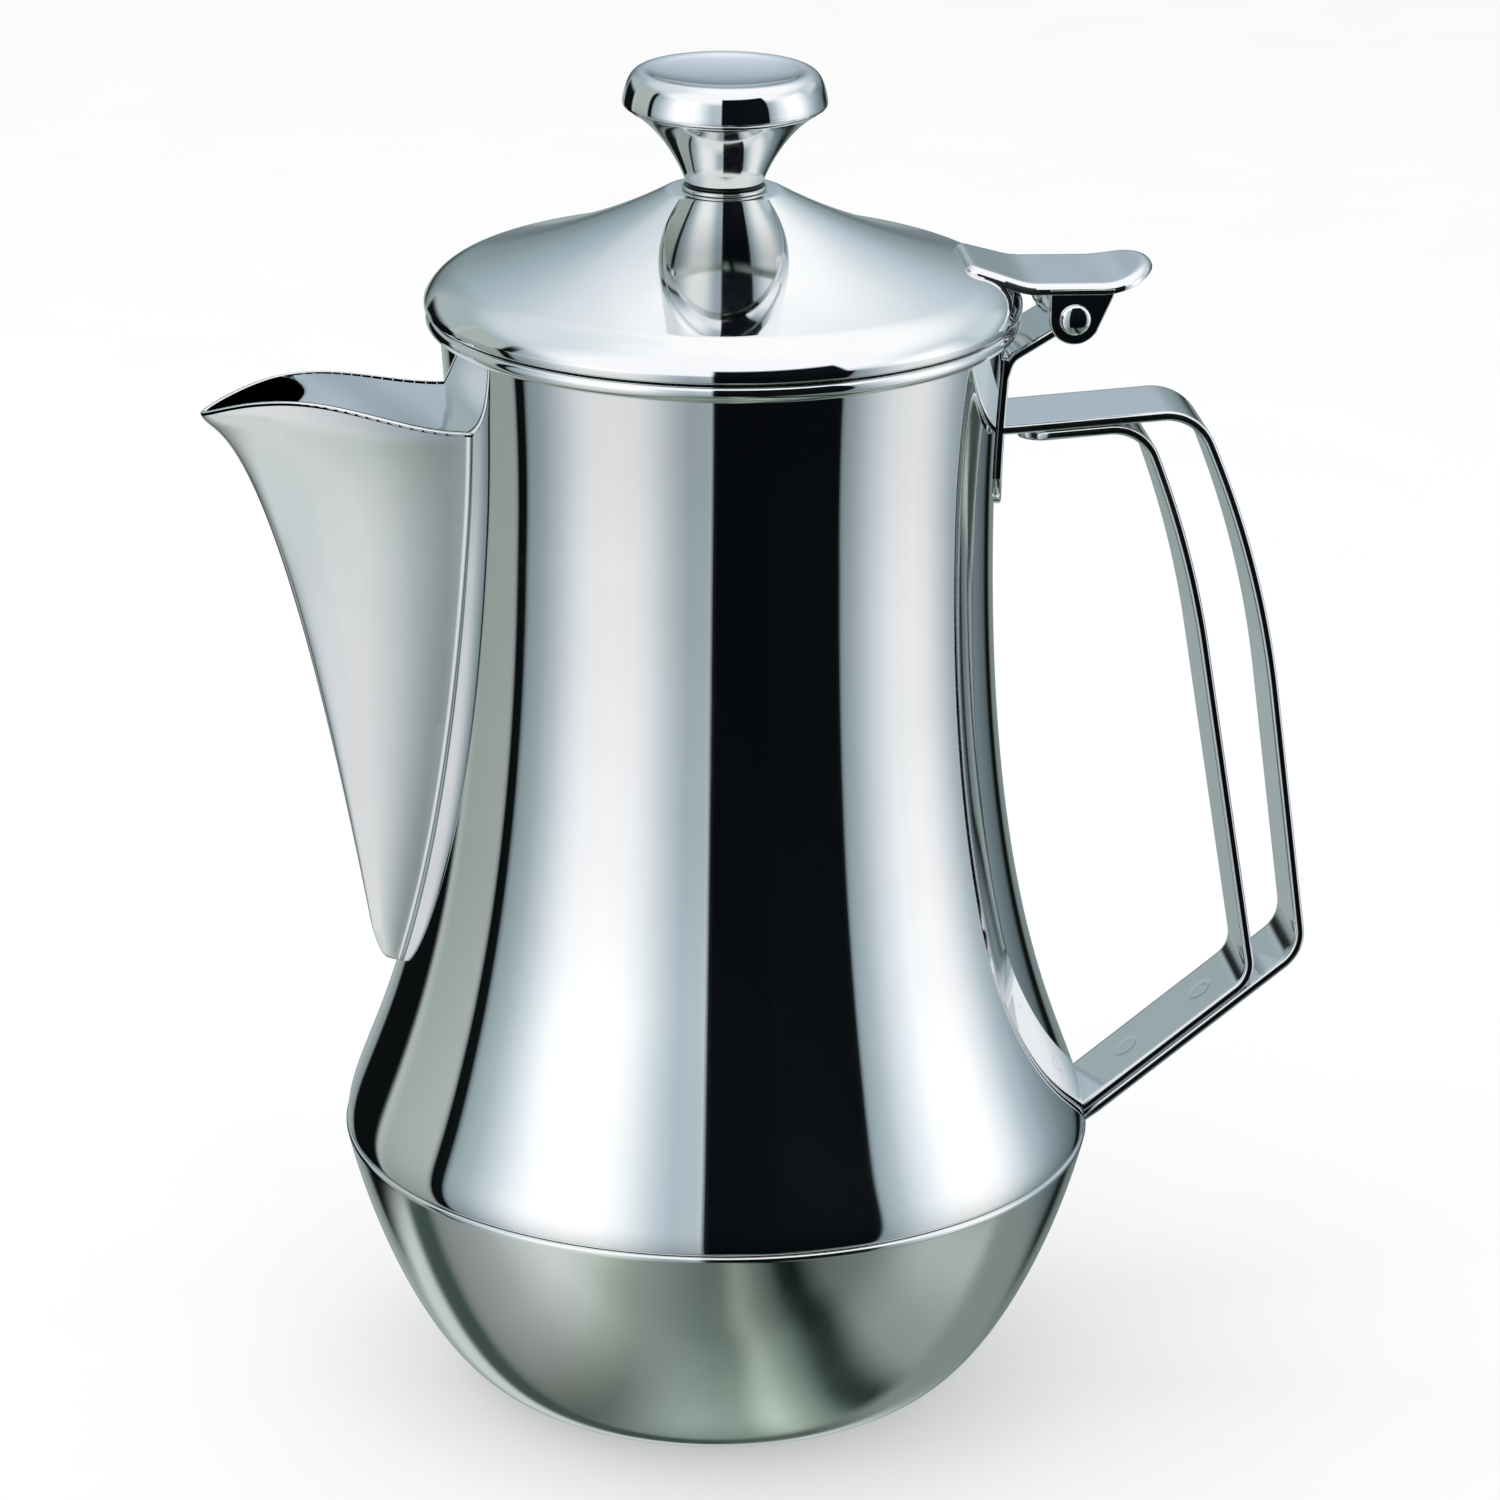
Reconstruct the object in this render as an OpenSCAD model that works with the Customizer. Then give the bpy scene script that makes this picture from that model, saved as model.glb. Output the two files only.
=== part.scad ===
// Stainless steel coffee pot with a hinged lid, a folded V spout and a double strap handle.
// Origin on the pot's axis at the plane it stands on: +Z up, spout towards -X, handle towards +X.

/* [Body] */
// Radius of the flat base
base_r = 29.3; // [27:0.1:31]
// Radius at the seam between the bowl and the neck
seam_r = 52.4; // [51:0.1:54]
// Height of the seam
seam_h = 38; // [36:0.5:40]
// Radius at the narrowest part of the neck
waist_r = 37.3; // [37:0.1:37.8]
// Height of the narrowest part of the neck
waist_h = 128.4; // [125:0.1:132]
// Radius of the neck just under the rolled rim
throat_r = 38.5; // [38.3:0.1:38.8]
// Outer radius of the rolled rim
rim_r = 40.4; // [40.2:0.1:40.6]
// Height of the rim's top edge
rim_h = 155.8; // [155.5:0.1:156]
// Thickness of the body's sheet
sheet = 0.9; // [0.7:0.1:1]

/* [Spout] */
// How far the tip stands out from the pot's axis
tip_x = 71; // [69:0.5:73]
// Height of the tip
tip_h = 142.3; // [141:0.1:143]
// Height of the spout's lowest point
spout_foot_h = 62.5; // [61:0.5:64]
// Half width of the spout where its top meets the neck
spout_half_w = 13.5; // [12.5:0.1:14]
// How far the spout's top edges arch above the tip
spout_arch = 3.2; // [2.5:0.1:3.5]
// Distance from the pot's axis to the back of the open mouth
mouth_back_x = 56.6; // [55:0.1:58]

/* [Handle] */
// Width of the straps
strap_w = 14; // [12:0.5:15]
// Thickness of each strap
strap_t = 1.3; // [1.1:0.1:1.4]

/* [Lid] */
// Radius of the lid
lid_r = 40.6; // [40.4:0.1:40.8]
// Height of the lid's centre above the rim
lid_rise = 16.5; // [16:0.1:17]
// Height of the lid's edge band
lid_edge_h = 1.1; // [0.9:0.1:1.2]
// Gap between the rim and the closed lid
lid_gap = 0.2; // [0.1:0.1:0.3]
// Thickness of the lid's sheet
lid_sheet = 0.8; // [0.7:0.1:0.9]
// Outer radius of the collar that drops into the neck
collar_r = 36.6; // [36.3:0.1:36.8]
// Depth of that collar below the rim
collar_depth = 7.6; // [6:0.1:8]

/* [Knob] */
// Radius of the knob's disc
knob_r = 14; // [13:0.1:14.5]
// Height of the knob above the lid
knob_h = 16.3; // [16:0.1:17]
// Radius of the knob's foot
knob_foot_r = 5.5; // [5.4:0.1:5.8]

/* [Hinge] */
// Distance from the pot's axis to the hinge pin
pin_x = 46.9; // [46.8:0.1:47.1]
// Radius of the hinge pin
pin_r = 1.5; // [1.3:0.1:1.6]
// Width of the thumb plate
thumb_w = 18; // [17.6:0.1:19]
// Distance from the pot's axis to the thumb plate's tip
thumb_tip_x = 58.2; // [58:0.1:59.5]
// Thickness of the thumb plate and its ears
thumb_t = 1.4; // [1.2:0.1:1.4]

/* [Hidden] */
$fn = 96;

steel = [0.86, 0.87, 0.88];
dull_steel = [0.70, 0.72, 0.72];
strap_steel = [0.76, 0.79, 0.79];

bead_r = 1.2;
bead_z = rim_h - bead_r;
pin_z = rim_h - 0.4;
running_clearance = 0.05;
press_clearance = 0.01;
knuckle_r = 2.6;
ear_r = 3.5;
bracket_w = 14;
bracket_t = 1.0;
bracket_foot_h = 127.6;
arm_t = 1.2;
screw_r = 2;
lid_low = rim_h + lid_gap;
lid_top = rim_h + lid_rise;
plateau_r = 7.9;
pin_head_r = 2.1;
pin_head_h = 0.9;
thumb_root_x = 32.4;
washer_t = 0.8;
washer_r = 5;
head_h = 2.2;
head_r = 3.6;
far = 100;

// ---------- curves and outlines ----------

function unit(v) = v / norm(v);

function bezier(p, t) = pow(1 - t, 3) * p[0] + 3 * pow(1 - t, 2) * t * p[1]
                      + 3 * (1 - t) * t * t * p[2] + pow(t, 3) * p[3];

function curve(p, n) = [for (i = [0:n]) bezier(p, i / n)];

function arc(centre, r, from, to, n) =
    [for (i = [0:n]) let (a = from + (to - from) * i / n) centre + r * [cos(a), sin(a)]];

function backwards(path) = [for (i = [len(path) - 1:-1:0]) path[i]];

// A path moved by d towards the right hand of someone walking along it
function moved(path, d) = [for (i = [0:len(path) - 1])
    let (a = path[max(i - 1, 0)], b = path[min(i + 1, len(path) - 1)], u = unit(b - a))
    path[i] + d * [u[1], -u[0]]];

// The outline of a bent sheet: a path, and the same path moved by the sheet's thickness
function bent_sheet(path, t) = concat(path, backwards(moved(path, t)));

// The arc that rounds the corner b between a and c
function round_corner(a, b, c, r, n) =
    let (u = unit(a - b), v = unit(c - b), half = acos(u * v) / 2,
         centre = b + unit(u + v) * r / sin(half),
         start = b + u * r / tan(half) - centre, end = b + v * r / tan(half) - centre,
         from = atan2(start[1], start[0]), to = atan2(end[1], end[0]),
         sweep = (to - from + 540) % 360 - 180)
    arc(centre, r, from, from + sweep, n);

// An open path with each inner corner rounded by its own radius
function rounded_path(corners, radii, n = 8) = concat([corners[0]],
    [for (i = [1:len(corners) - 2])
        each round_corner(corners[i - 1], corners[i], corners[i + 1], radii[i - 1], n)],
    [corners[len(corners) - 1]]);

// A closed outline with each corner rounded by its own radius
function rounded_loop(corners, radii, n = 6) = let (count = len(corners))
    [for (i = [0:count - 1])
        each round_corner(corners[(i + count - 1) % count], corners[i],
                          corners[(i + 1) % count], radii[i], n)];

// An XZ outline made w wide, with its middle at y = 0
module across(w) { rotate([90, 0, 0]) linear_extrude(height = w, center = true) children(); }

// A YZ outline made solid from one x to another
module along(from, to) {
    translate([from, 0, 0]) rotate([90, 0, 90]) linear_extrude(height = to - from) children();
}

// ---------- the body's profiles, as radius and height ----------

bowl_path = concat([[0, 0]],
    curve([[base_r, 0], [base_r + 9.5, 0.7], [seam_r - 3.9, seam_h - 17], [seam_r, seam_h]], 20));
neck_path = concat(
    curve([[seam_r, seam_h], [seam_r, seam_h + 9.4],
           [waist_r, seam_h + 23.8], [waist_r, waist_h]], 24),
    [for (i = [1:6]) bezier([[waist_r, waist_h], [waist_r, waist_h + 9.6],
                             [throat_r - 0.5, bead_z - 8], [throat_r, bead_z - 1]], i / 6)]);

// The neck's outer radius at a height
function neck_radius(z) = lookup(z, [for (p = neck_path) [p[1], p[0]]]);

// Everything inside the pot's outer surface, up to the rolled rim
module body_core() {
    rotate_extrude() polygon(concat(bowl_path,
        [for (i = [1:len(neck_path) - 1]) neck_path[i]], [[0, bead_z - 1]]));
}

module bowl_shell() {
    inner = moved(bowl_path, -sheet);
    last = len(bowl_path) - 1;
    color(dull_steel) rotate_extrude()
        polygon(concat(bowl_path, [[seam_r - sheet, seam_h]],
                       backwards([for (i = [0:last - 1]) inner[i]])));
}

module neck_shell() {
    bead = arc([rim_r - bead_r, bead_z], bead_r, -120, 90, 10);
    pour_hole = rounded_loop([[-3.4, 90], [3.4, 90], [10.2, 138.5], [-10.2, 138.5]],
                             [2.5, 2.5, 4, 4]);
    color(steel) difference() {
        rotate_extrude()
            polygon(concat(neck_path, bead, [[throat_r - sheet, rim_h]],
                           backwards(moved(neck_path, -sheet))));
        along(-far, -30) polygon(pour_hole);
    }
}

// ---------- spout ----------

spout_rows = 24;
spout_columns = 9;
foot_half_w = 0.8;
foot_share = 0.16;
mouth_round_r = 17;
nose_bluntness = 0.3;
ridge_curve = [[-47.7, spout_foot_h], [-62.1, 147], [-69.7, 137.6], [-tip_x, tip_h]];

// Front ridge of the folded sheet, from the foot (s = 0) to the tip (s = 1)
function ridge(s) = bezier(ridge_curve, s * s);

// How far the section stands out at s, as a part of its depth: the foot is rounded into the neck
function stand_out(s) = max(0.12, sqrt(1 - pow(1 - min(1, s / foot_share), 2)));

// How far the section has come back from the ridge at t, where t = 1 is the join with the neck
function set_back(t) = (norm([t, nose_bluntness]) - nose_bluntness)
                     / (norm([1, nose_bluntness]) - nose_bluntness);

// Half width of the join with the neck at a height
function join_half_w(z) = foot_half_w
    + (spout_half_w - foot_half_w) * (z - spout_foot_h) / (tip_h - spout_foot_h);

// A point of the spout's outer skin: t from -1 on one side, over the ridge, to 1 on the other
function skin(s, t) =
    let (r = ridge(s), w = join_half_w(r[1]), wall_x = -sqrt(pow(neck_radius(r[1]), 2) - w * w))
    [wall_x + (r[0] - wall_x) * stand_out(s) * (1 - set_back(abs(t))), w * t,
     r[1] + spout_arch * pow(s, 8) * pow(sin(180 * t), 2)];

// The point inside that skin by the sheet's thickness, kept outside the neck
function lining(s, t) =
    let (d = 0.01,
         ds = skin(min(s + d, 1), t) - skin(max(s - d, 0), t),
         dt = skin(s, min(t + d, 1)) - skin(s, max(t - d, -1)),
         n = unit(cross(ds, dt)),
         p = skin(s, t) + sheet * min(1, 0.3 + 4 * s) * n,
         y = p[1],
         wall_x = -sqrt(pow(neck_radius(p[2]), 2) - y * y))
    [min(p[0], wall_x), y, p[2]];

module spout_trough() {
    across_count = 2 * spout_columns + 1;
    function grid(i, j) = i * across_count + j;
    ts = [for (j = [0:across_count - 1]) (j - spout_columns) / spout_columns];
    outer = [for (i = [0:spout_rows]) for (t = ts) skin(i / spout_rows, t)];
    inner = [for (i = [0:spout_rows]) for (t = ts) lining(i / spout_rows, t)];
    shift = len(outer);
    last_row = spout_rows;
    last_col = across_count - 1;
    skin_faces = [for (i = [0:last_row - 1]) for (j = [0:last_col - 1])
        each [[grid(i, j), grid(i + 1, j), grid(i + 1, j + 1)],
              [grid(i, j), grid(i + 1, j + 1), grid(i, j + 1)]]];
    rim_loop = concat([for (j = [0:last_col]) grid(0, j)],
                      [for (i = [1:last_row]) grid(i, last_col)],
                      [for (j = [last_col - 1:-1:0]) grid(last_row, j)],
                      [for (i = [last_row - 1:-1:1]) grid(i, 0)]);
    count = len(rim_loop);
    rim_faces = [for (k = [0:count - 1])
        let (a = rim_loop[k], b = rim_loop[(k + 1) % count])
        each [[a, b, b + shift], [a, b + shift, a + shift]]];
    lining_faces = [for (f = skin_faces) [f[2] + shift, f[1] + shift, f[0] + shift]];
    color(steel) polyhedron(concat(outer, inner), concat(skin_faces, lining_faces, rim_faces));
}

module spout_top() {
    // The spout's top edge, from beside the open mouth back to the neck
    edge = [for (i = [0:10]) skin(1, 0.45 + 0.055 * i)];
    inside_x = -30;
    top_line = concat([for (p = edge) [p[0], p[2] - 0.1]], [[inside_x, tip_h - 1.2]]);
    side_line = [for (p = edge) [p[0], p[1] - 1.15 * sheet]];
    end_y = side_line[10][1];
    color(steel) difference() {
        intersection() {
            across(4 * spout_half_w) polygon(bent_sheet(top_line, sheet));
            linear_extrude(height = 2 * far)
                polygon(concat(side_line, [[inside_x, end_y], [inside_x, -end_y]],
                               backwards([for (p = side_line) [p[0], -p[1]]])));
        }
        body_core();
        translate([-mouth_back_x - mouth_round_r, 0, 0]) cylinder(r = mouth_round_r, h = 2 * far);
    }
}

// ---------- handle ----------

// The point at x on the line from a to b, moved by d towards its right hand
function beside(a, b, d, x) = let (u = unit(b - a), p = a + d * [u[1], -u[0]])
    [x, p[1] + (x - p[0]) * u[1] / u[0]];

// Corners of each strap's outer side, from its top end at the neck to its bottom end at the seam
outer_corners = [[36, 139.9], [65, 142], [74.8, 119.2], [82.8, 62.1], [50, 35.7]];
outer_radii = [7.5, 140, 6.5];
inner_start_x = 40.2;
inner_corners = [beside(outer_corners[0], outer_corners[1], strap_t, inner_start_x),
                 beside(outer_corners[0], outer_corners[1], strap_t, 57.6), [65, 121.2],
                 beside(outer_corners[3], outer_corners[4], strap_t, 75.8),
                 beside(outer_corners[3], outer_corners[4], strap_t, 48)];
inner_radii = [7, 140, 5.5];

module strap(corners, radii) {
    difference() {
        across(strap_w) polygon(bent_sheet(rounded_path(corners, radii), strap_t));
        body_core();
    }
}

// The top end of the outer strap butts on the hinge bracket's plate
module handle_outer_strap() {
    bracket_face = [for (p = moved(neck_path, bracket_t)) if (p[1] > bracket_foot_h) p];
    color(strap_steel) difference() {
        strap(outer_corners, outer_radii);
        rotate_extrude() polygon(concat([[0, bracket_face[0][1]]], bracket_face,
                                        [[0, bracket_face[len(bracket_face) - 1][1]]]));
    }
}

module handle_inner_strap() {
    half = strap_w / 2;
    plan = rounded_loop([[inner_start_x, -half], [far, -half - 1], [far, half + 1],
                         [inner_start_x, half]], [4, 1, 1, 4]);
    color(strap_steel) intersection() {
        strap(inner_corners, inner_radii);
        linear_extrude(height = 2 * far) polygon(plan);
    }
}

// ---------- hinge ----------

// The part of the bracket that lies on the neck under the rim
module bracket_plate() {
    half = bracket_w / 2;
    top = bead_z - 5;
    intersection() {
        rotate_extrude() polygon(bent_sheet(neck_path, bracket_t));
        along(0, far) polygon(rounded_loop([[-half, bracket_foot_h], [half, bracket_foot_h],
                                            [half, top], [-half, top]], [6, 6, 0.5, 0.5]));
    }
}

module pin_bore(r) {
    translate([pin_x, 0, pin_z]) rotate([90, 0, 0]) cylinder(r = r, h = far, center = true);
}

module hinge_bracket() {
    elbow = [neck_radius(bead_z - 6) + bracket_t, bead_z - 5.5];
    arm_path = rounded_path([elbow - [0.9, 3], elbow, [pin_x, pin_z - knuckle_r + 1]], [2]);
    color(steel) difference() {
        union() {
            bracket_plate();
            difference() {
                across(bracket_w) polygon(bent_sheet(arm_path, -arm_t));
                body_core();
            }
            translate([pin_x, 0, pin_z]) rotate([90, 0, 0])
                cylinder(r = knuckle_r, h = bracket_w, center = true);
        }
        pin_bore(pin_r + running_clearance);
    }
}

module hinge_pin() {
    half = thumb_w / 2;
    head = [for (a = [0:15:90]) [pin_head_r * cos(a), half + pin_head_h * sin(a)]];
    tail = backwards([for (p = head) [p[0], -p[1]]]);
    color(steel) translate([pin_x, 0, pin_z]) rotate([90, 0, 0])
        rotate_extrude() polygon(concat(tail, [[pin_r, -half], [pin_r, half]], head));
}

// The thumb plate is bent from one sheet with an ear at each side for the pin
module thumb_plate() {
    half = thumb_w / 2;
    plate_top = pin_z + ear_r + thumb_t;
    plate_path = rounded_path([[thumb_root_x, plate_top + 2.5], [40.5, plate_top],
                               [52.5, plate_top - 0.1], [thumb_tip_x, plate_top + 1.9]], [10, 12]);
    tip = [for (a = [-90:9:90]) [thumb_tip_x - 7 + 7 * cos(a), half * sin(a)]];
    wide = [thumb_root_x + 9, half];
    root = [thumb_root_x, half - 1.7];
    plan = concat(tip, [wide], round_corner(wide, root, [root[0], -root[1]], 2, 6),
                  round_corner(root, [root[0], -root[1]], [wide[0], -half], 2, 6), [[wide[0], -half]]);
    ear = concat([[pin_x - ear_r, plate_top - 0.5], [pin_x - ear_r, pin_z]],
                 arc([pin_x, pin_z], ear_r, 180, 330, 12),
                 [[pin_x + 5.2, plate_top - 1.8], [pin_x + 5.4, plate_top - 0.5]]);
    color(steel) difference() {
        union() {
            intersection() {
                across(thumb_w) polygon(bent_sheet(plate_path, thumb_t));
                linear_extrude(height = 2 * far) polygon(plan);
            }
            for (side = [-1, 1]) translate([0, side * (half - thumb_t / 2), 0])
                across(thumb_t) polygon(ear);
        }
        pin_bore(pin_r + press_clearance);
        lid_block();
    }
}

// ---------- lid ----------

// The lid's outer side: hollow near the knob, full towards the edge, down to the edge band
lid_path = concat([[plateau_r, lid_top]],
    [for (i = [1:12]) bezier([[plateau_r, lid_top], [14.4, lid_top - 3.7],
                              [23.3, lid_top - 7.7], [lid_r - 5.1, lid_top - 11.06]], i / 12)],
    [for (i = [1:10]) bezier([[lid_r - 5.1, lid_top - 11.06], [lid_r - 2.6, lid_top - 11.76],
                              [lid_r - 0.9, lid_low + lid_edge_h + 2], [lid_r, lid_low + lid_edge_h]], i / 10)]);
lid_under_path = moved(lid_path, lid_sheet);

// Everything under the lid's outer side
module lid_block() {
    rotate_extrude() polygon(concat([[0, lid_low], [0, lid_top]], lid_path, [[lid_r, lid_low]]));
}

module lid_shell() {
    hole_r = screw_r + 0.2;
    inner_edge = [[lid_r - lid_sheet, lid_low], [lid_r - lid_sheet, lid_low + lid_edge_h - 0.5]];
    color(steel) rotate_extrude()
        polygon(concat([[hole_r, lid_top]], lid_path, [[lid_r, lid_low]],
                       inner_edge, backwards(lid_under_path), [[hole_r, lid_top - lid_sheet]]));
}

module lid_collar() {
    bottom = rim_h - collar_depth;
    color(dull_steel) intersection() {
        rotate_extrude() translate([collar_r - lid_sheet, bottom]) square([lid_sheet, lid_rise]);
        rotate_extrude() polygon(concat([[0, bottom - 1], [0, lid_top - lid_sheet]], lid_under_path,
                                        [[lid_under_path[len(lid_under_path) - 1][0], bottom - 1]]));
    }
}

// ---------- knob ----------

module knob_stem() {
    flare = curve([[knob_foot_r, lid_top], [knob_foot_r + 1.3, lid_top + 3.5],
                   [knob_r - 5, lid_top + 7.5], [knob_r - 1, lid_top + knob_h - 5]], 14);
    bore_top = lid_top + 8;
    color(steel) rotate_extrude()
        polygon(concat([[screw_r + press_clearance, lid_top]], flare,
                       [[0, lid_top + knob_h - 5], [0, bore_top], [screw_r + press_clearance, bore_top]]));
}

module knob_top() {
    under = lid_top + knob_h - 5;
    top = lid_top + knob_h;
    shoulder = curve([[knob_r - 1.1, top - 1.5], [knob_r - 1.5, top - 0.4],
                      [knob_r - 2.2, top], [knob_r - 3.2, top - 0.1]], 8);
    dish = [for (r = [knob_r - 4.5:-1.5:0]) [r, top - 0.25 - 0.35 * (1 - pow(r / knob_r, 2))]];
    color(steel) rotate_extrude()
        polygon(concat([[0, under], [knob_r - 1, under], [knob_r, under + 0.8], [knob_r - 0.05, under + 1.3]],
                       shoulder, dish, [[0, top - 0.6]]));
}

module knob_screw() {
    head_top = lid_top - lid_sheet - washer_t;
    crown = [for (a = [0:15:90]) [head_r * cos(a), head_top - head_h * 0.5 * (1 + sin(a))]];
    slot_w = 1;
    color(dull_steel) difference() {
        rotate_extrude()
            polygon(concat([[0, head_top + 9], [screw_r, head_top + 9], [screw_r, head_top],
                            [head_r, head_top]], crown));
        translate([-head_r, -slot_w / 2, head_top - head_h - 1]) cube([2 * head_r, slot_w, 2]);
    }
}

module knob_washer() {
    color(dull_steel) translate([0, 0, lid_top - lid_sheet - washer_t]) difference() {
        cylinder(r = washer_r, h = washer_t);
        translate([0, 0, -1]) cylinder(r = screw_r + 0.2, h = washer_t + 2);
    }
}

bowl_shell();
neck_shell();
spout_trough();
spout_top();
hinge_bracket();
handle_outer_strap();
handle_inner_strap();
hinge_pin();
thumb_plate();
lid_shell();
lid_collar();
knob_stem();
knob_top();
knob_screw();
knob_washer();
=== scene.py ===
import math

import bpy
import numpy as np
from mathutils import Matrix


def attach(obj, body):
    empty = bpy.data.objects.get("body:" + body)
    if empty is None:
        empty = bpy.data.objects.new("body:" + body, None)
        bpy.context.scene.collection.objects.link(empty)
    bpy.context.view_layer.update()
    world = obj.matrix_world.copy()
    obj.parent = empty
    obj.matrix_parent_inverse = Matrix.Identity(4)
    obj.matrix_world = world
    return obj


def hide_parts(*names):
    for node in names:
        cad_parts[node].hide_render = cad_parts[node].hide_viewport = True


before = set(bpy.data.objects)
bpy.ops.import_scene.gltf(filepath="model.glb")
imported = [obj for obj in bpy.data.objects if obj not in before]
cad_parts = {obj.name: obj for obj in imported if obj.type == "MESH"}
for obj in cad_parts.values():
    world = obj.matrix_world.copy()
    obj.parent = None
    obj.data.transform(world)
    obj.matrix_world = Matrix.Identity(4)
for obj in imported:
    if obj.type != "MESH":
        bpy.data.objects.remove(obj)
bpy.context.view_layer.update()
MM = 0.001

# ---------------------------------------------------------------- curves and profiles, in millimetres


def bezier(p, t):
    """Points of a cubic curve with the four control points p."""
    p, t = np.array(p, float), np.atleast_1d(np.asarray(t, float))[:, None]
    u = 1 - t
    return u ** 3 * p[0] + 3 * u ** 2 * t * p[1] + 3 * u * t * t * p[2] + t ** 3 * p[3]


def curve(p, n):
    return bezier(p, np.linspace(0, 1, n + 1))


def arc(centre, r, start, end, n):
    a = np.radians(np.linspace(start, end, n + 1))
    return np.array(centre, float) + r * np.stack([np.cos(a), np.sin(a)], 1)


def unit(v):
    v = np.asarray(v, float)
    return v / np.maximum(np.linalg.norm(v, axis=-1, keepdims=True), 1e-12)


def corner_arc(a, b, c, r, n):
    """The arc of radius r that rounds the corner b between a and c."""
    a, b, c = (np.asarray(p, float) for p in (a, b, c))
    u, v = unit(a - b), unit(c - b)
    half = math.acos(max(-1.0, min(1.0, float(u @ v)))) / 2
    centre = b + unit(u + v) * r / math.sin(half)
    start, end = b + u * r / math.tan(half) - centre, b + v * r / math.tan(half) - centre
    a0, a1 = math.degrees(math.atan2(start[1], start[0])), math.degrees(math.atan2(end[1], end[0]))
    return arc(centre, r, a0, a0 + (a1 - a0 + 540) % 360 - 180, n)


def rounded_path(corners, radii, n=12):
    inner = [corner_arc(corners[i - 1], corners[i], corners[i + 1], radii[i - 1], n)
             for i in range(1, len(corners) - 1)]
    return np.vstack([[corners[0]], *inner, [corners[-1]]])


def rounded_loop(corners, radii, n=8):
    k = len(corners)
    return np.vstack([corner_arc(corners[i - 1], corners[i], corners[(i + 1) % k], radii[i], n)
                      for i in range(k)])


def resample(path, step):
    """Extra points along the straight stretches of a path, so that no segment is longer than step."""
    out = [path[0]]
    for a, b in zip(path[:-1], path[1:]):
        n = max(1, int(math.ceil(np.linalg.norm(b - a) / step)))
        out += [a + (b - a) * (i + 1) / n for i in range(n)]
    return np.array(out)


def lengths(path):
    """The length along a path up to each of its points."""
    return np.concatenate([[0], np.cumsum(np.linalg.norm(np.diff(path, axis=0), axis=1))])


def slopes(p, axis, closed):
    """Direction along one axis of a grid of points: the nearer neighbour counts for more."""
    if closed:
        before, after = p - np.roll(p, 1, axis), np.roll(p, -1, axis) - p
    else:
        d = np.diff(p, axis=axis)
        first, last = np.take(d, [0], axis), np.take(d, [-1], axis)
        before, after = np.concatenate([first, d], axis), np.concatenate([d, last], axis)
    lb = np.linalg.norm(before, axis=-1, keepdims=True) + 1e-9
    la = np.linalg.norm(after, axis=-1, keepdims=True) + 1e-9
    return before / lb * la + after / la * lb


def make_object(name, points, faces, normals=None):
    me = bpy.data.meshes.new(name)
    me.from_pydata((np.asarray(points, float) * MM).tolist(), [], [list(map(int, f)) for f in faces])
    me.polygons.foreach_set("use_smooth", [True] * len(me.polygons))
    me.update()
    if normals is not None:
        me.normals_split_custom_set_from_vertices(np.asarray(normals, float).tolist())
    ob = bpy.data.objects.new(name, me)
    bpy.context.scene.collection.objects.link(ob)
    return ob


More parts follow.
